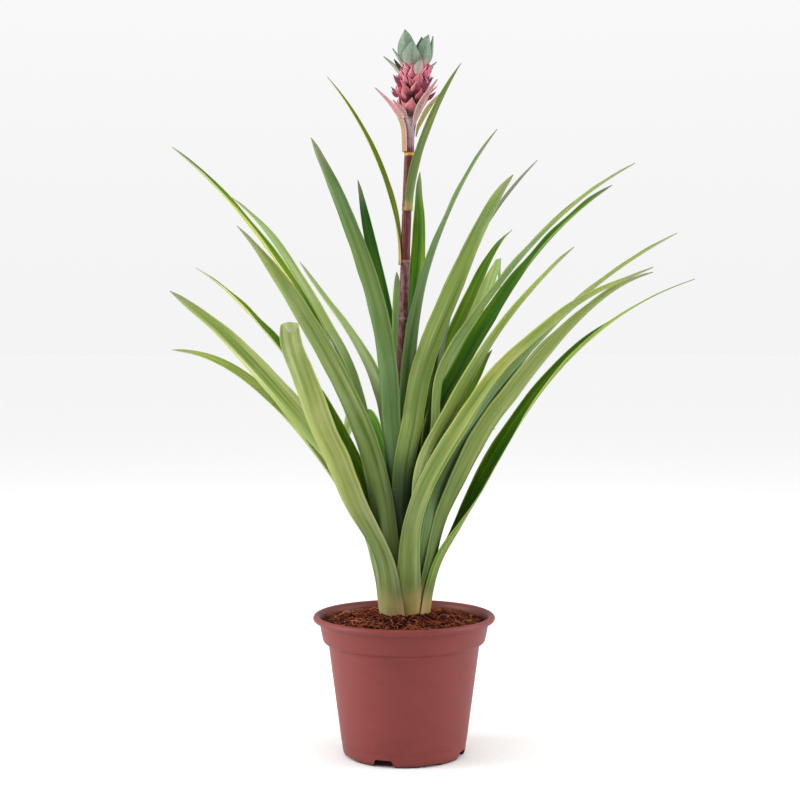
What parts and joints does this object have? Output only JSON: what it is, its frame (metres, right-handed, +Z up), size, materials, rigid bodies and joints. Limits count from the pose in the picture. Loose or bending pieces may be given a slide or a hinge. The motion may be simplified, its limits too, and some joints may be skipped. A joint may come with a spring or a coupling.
{
  "type": "potted pineapple plant",
  "caption": "Ornamental pineapple plant in a round nursery pot: arching strap leaves in a rosette, a flower stalk with a small pink fruit and a scaly crown.",
  "frame": {"origin": "middle of the pot's flat foot, on the surface it stands on", "axes": "+Z up along the pot's axis, +X to the right and -Y towards a viewer who sees the two low arching leaves left and right"},
  "size_m": [0.3495, 0.4352, 0.4755],
  "materials": {
    "pot": "matt moulded terracotta-coloured plastic",
    "compost": "coarse dark brown coir and peat",
    "stem": "pale fibrous living stem",
    "leaf": "satin green leaf with pale mealy underside",
    "stalk": "maroon stalk with a lilac bloom",
    "bract": "papery pink-tan bract",
    "fruit": "waxy pink floral bracts",
    "crown": "grey-green mealy scale leaves"
  },
  "bodies": {
    "root": {"bract_back": "bract", "bract_front_left": "bract", "bract_front_right": "bract", "bract_left": "bract", "bract_right": "bract", "compost": "compost", "crown_scale_back": "crown", "crown_scale_back_left": "crown", "crown_scale_back_left_small": "crown", "crown_scale_back_right": "crown", "crown_scale_back_tall": "crown", "crown_scale_front": "crown", "crown_scale_left": "crown", "crown_scale_low_front": "crown", "crown_scale_low_left": "crown", "crown_scale_low_right": "crown", "crown_scale_right": "crown", "crown_scale_thin_left": "crown", "flower_stalk": "stalk", "fruit": "fruit", "leaf_back_left_low": "leaf", "leaf_back_left_mid": "leaf", "leaf_back_left_upper": "leaf", "leaf_back_low": "leaf", "leaf_back_right_arching": "leaf", "leaf_back_right_low": "leaf", "leaf_back_right_mid": "leaf", "leaf_back_right_short": "leaf", "leaf_back_upper": "leaf", "leaf_front_left_arching": "leaf", "leaf_front_left_upper": "leaf", "leaf_front_right_low": "leaf", "leaf_front_right_mid": "leaf", "leaf_front_right_upper": "leaf", "leaf_front_upper": "leaf", "leaf_inner_young": "leaf", "leaf_left_back_low": "leaf", "leaf_left_back_mid": "leaf", "leaf_left_front_low": "leaf", "leaf_left_front_mid": "leaf", "leaf_left_long": "leaf", "leaf_left_lowest": "leaf", "leaf_right_back_long": "leaf", "leaf_right_front_long": "leaf", "leaf_right_front_low": "leaf", "leaf_right_front_short": "leaf", "leaf_right_long": "leaf", "leaf_right_lowest": "leaf", "leaf_right_upper": "leaf", "pot": "pot", "stalk_leaf_left": "leaf", "stalk_leaf_right": "leaf", "stem_base": "stem"}
  },
  "joints": []
}
